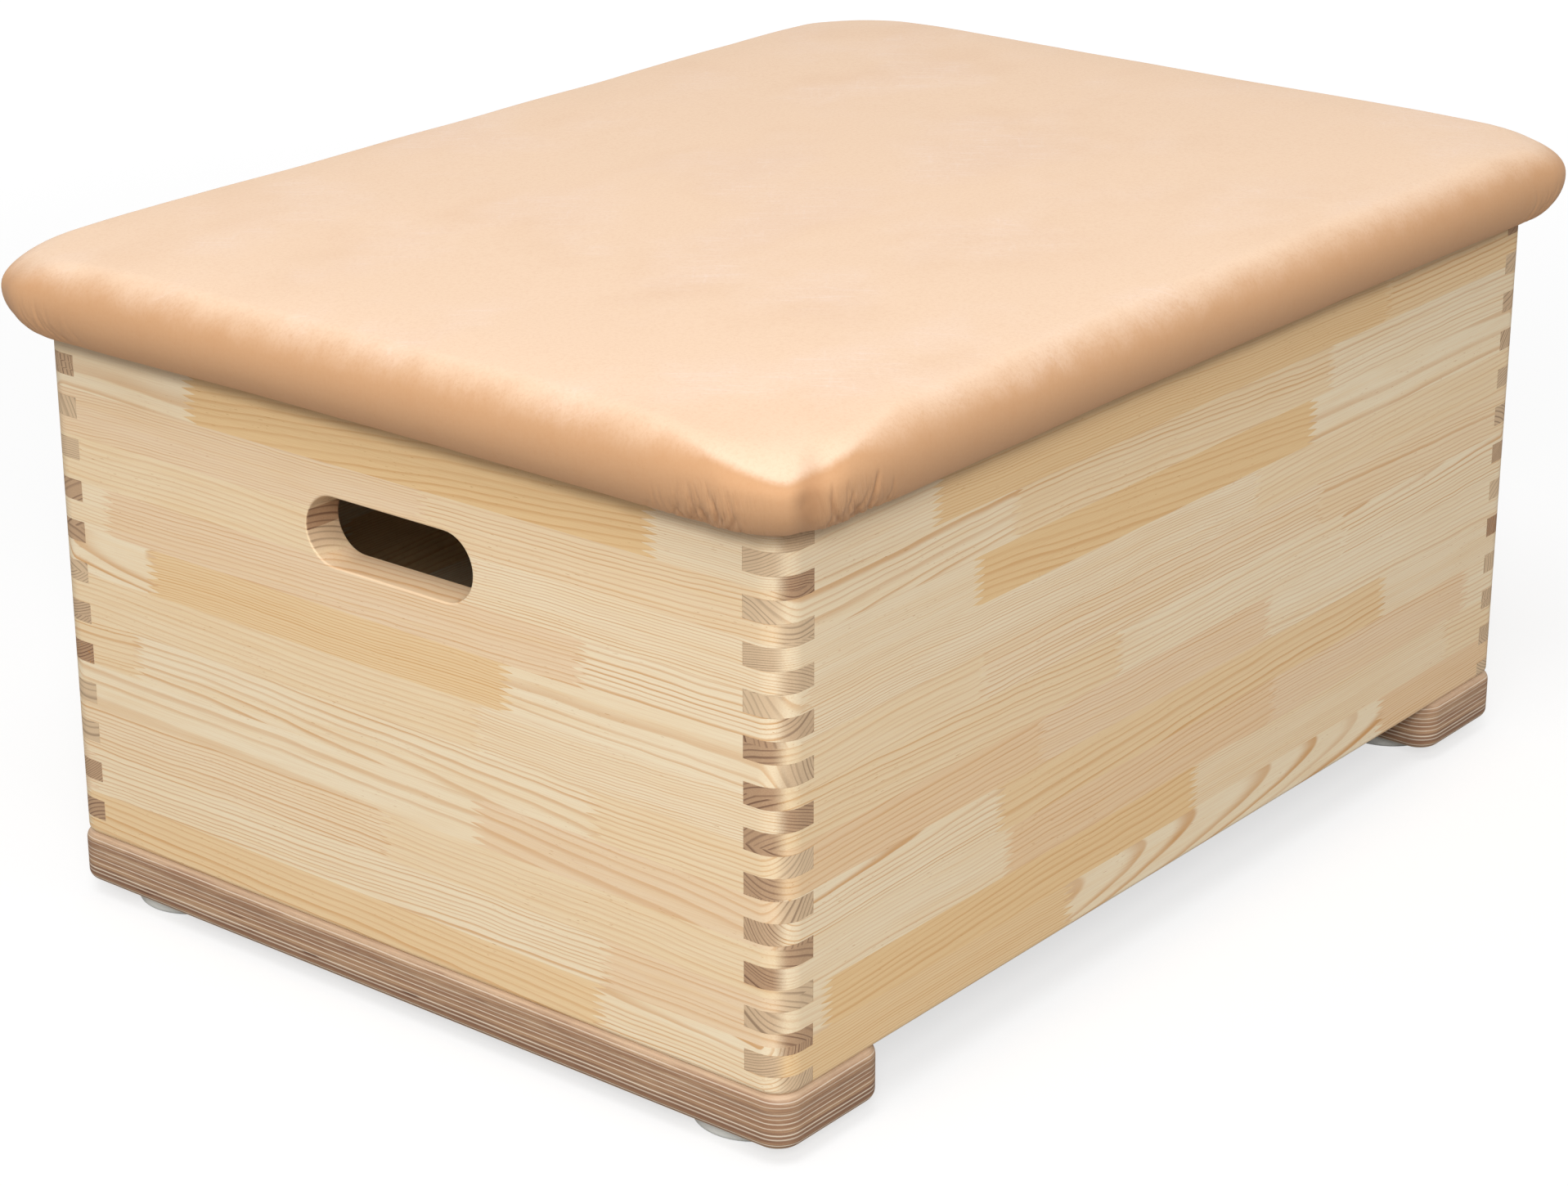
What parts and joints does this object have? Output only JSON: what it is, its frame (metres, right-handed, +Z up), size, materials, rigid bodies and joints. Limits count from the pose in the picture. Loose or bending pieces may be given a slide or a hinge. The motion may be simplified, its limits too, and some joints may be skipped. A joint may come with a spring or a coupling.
{
  "type": "vaulting box",
  "caption": "Low one-piece pine vaulting box with finger-jointed corners, hand slots in both ends, a rolled leather pad on top and battens with glides below.",
  "frame": {"origin": "on the floor, under the middle of the box", "axes": "+X along the length, towards the right end; +Y across the width, towards the back; +Z up"},
  "size_m": [0.8, 0.59, 0.4059],
  "materials": {
    "pine": "satin clear lacquer over light pine staves",
    "plywood": "satin lacquer, plies showing at the edges",
    "glide_plastic": "smooth off-white plastic",
    "zinc_steel": "bright zinc",
    "leather": "natural suede-like cowhide, matt",
    "foam": "bonded foam, matt"
  },
  "bodies": {
    "root": {"end_panel_left": "pine", "base_batten_left": "plywood", "rail_left": "pine", "batten_screw_left_1": "zinc_steel", "batten_screw_left_2": "zinc_steel", "batten_screw_left_3": "zinc_steel", "glide_left_1": "glide_plastic", "glide_screw_left_1": "zinc_steel", "rail_screw_left_1": "zinc_steel", "glide_left_2": "glide_plastic", "glide_screw_left_2": "zinc_steel", "rail_screw_left_2": "zinc_steel", "end_panel_right": "pine", "base_batten_right": "plywood", "rail_right": "pine", "batten_screw_right_1": "zinc_steel", "batten_screw_right_2": "zinc_steel", "batten_screw_right_3": "zinc_steel", "glide_right_1": "glide_plastic", "glide_screw_right_1": "zinc_steel", "rail_screw_right_1": "zinc_steel", "glide_right_2": "glide_plastic", "glide_screw_right_2": "zinc_steel", "rail_screw_right_2": "zinc_steel", "side_panel_front": "pine", "rail_front": "pine", "rail_screw_front_1": "zinc_steel", "rail_screw_front_2": "zinc_steel", "rail_screw_front_3": "zinc_steel", "side_panel_back": "pine", "rail_back": "pine", "rail_screw_back_1": "zinc_steel", "rail_screw_back_2": "zinc_steel", "rail_screw_back_3": "zinc_steel", "top_board": "plywood", "pad_foam": "foam", "leather_cover": "leather"}
  },
  "joints": []
}
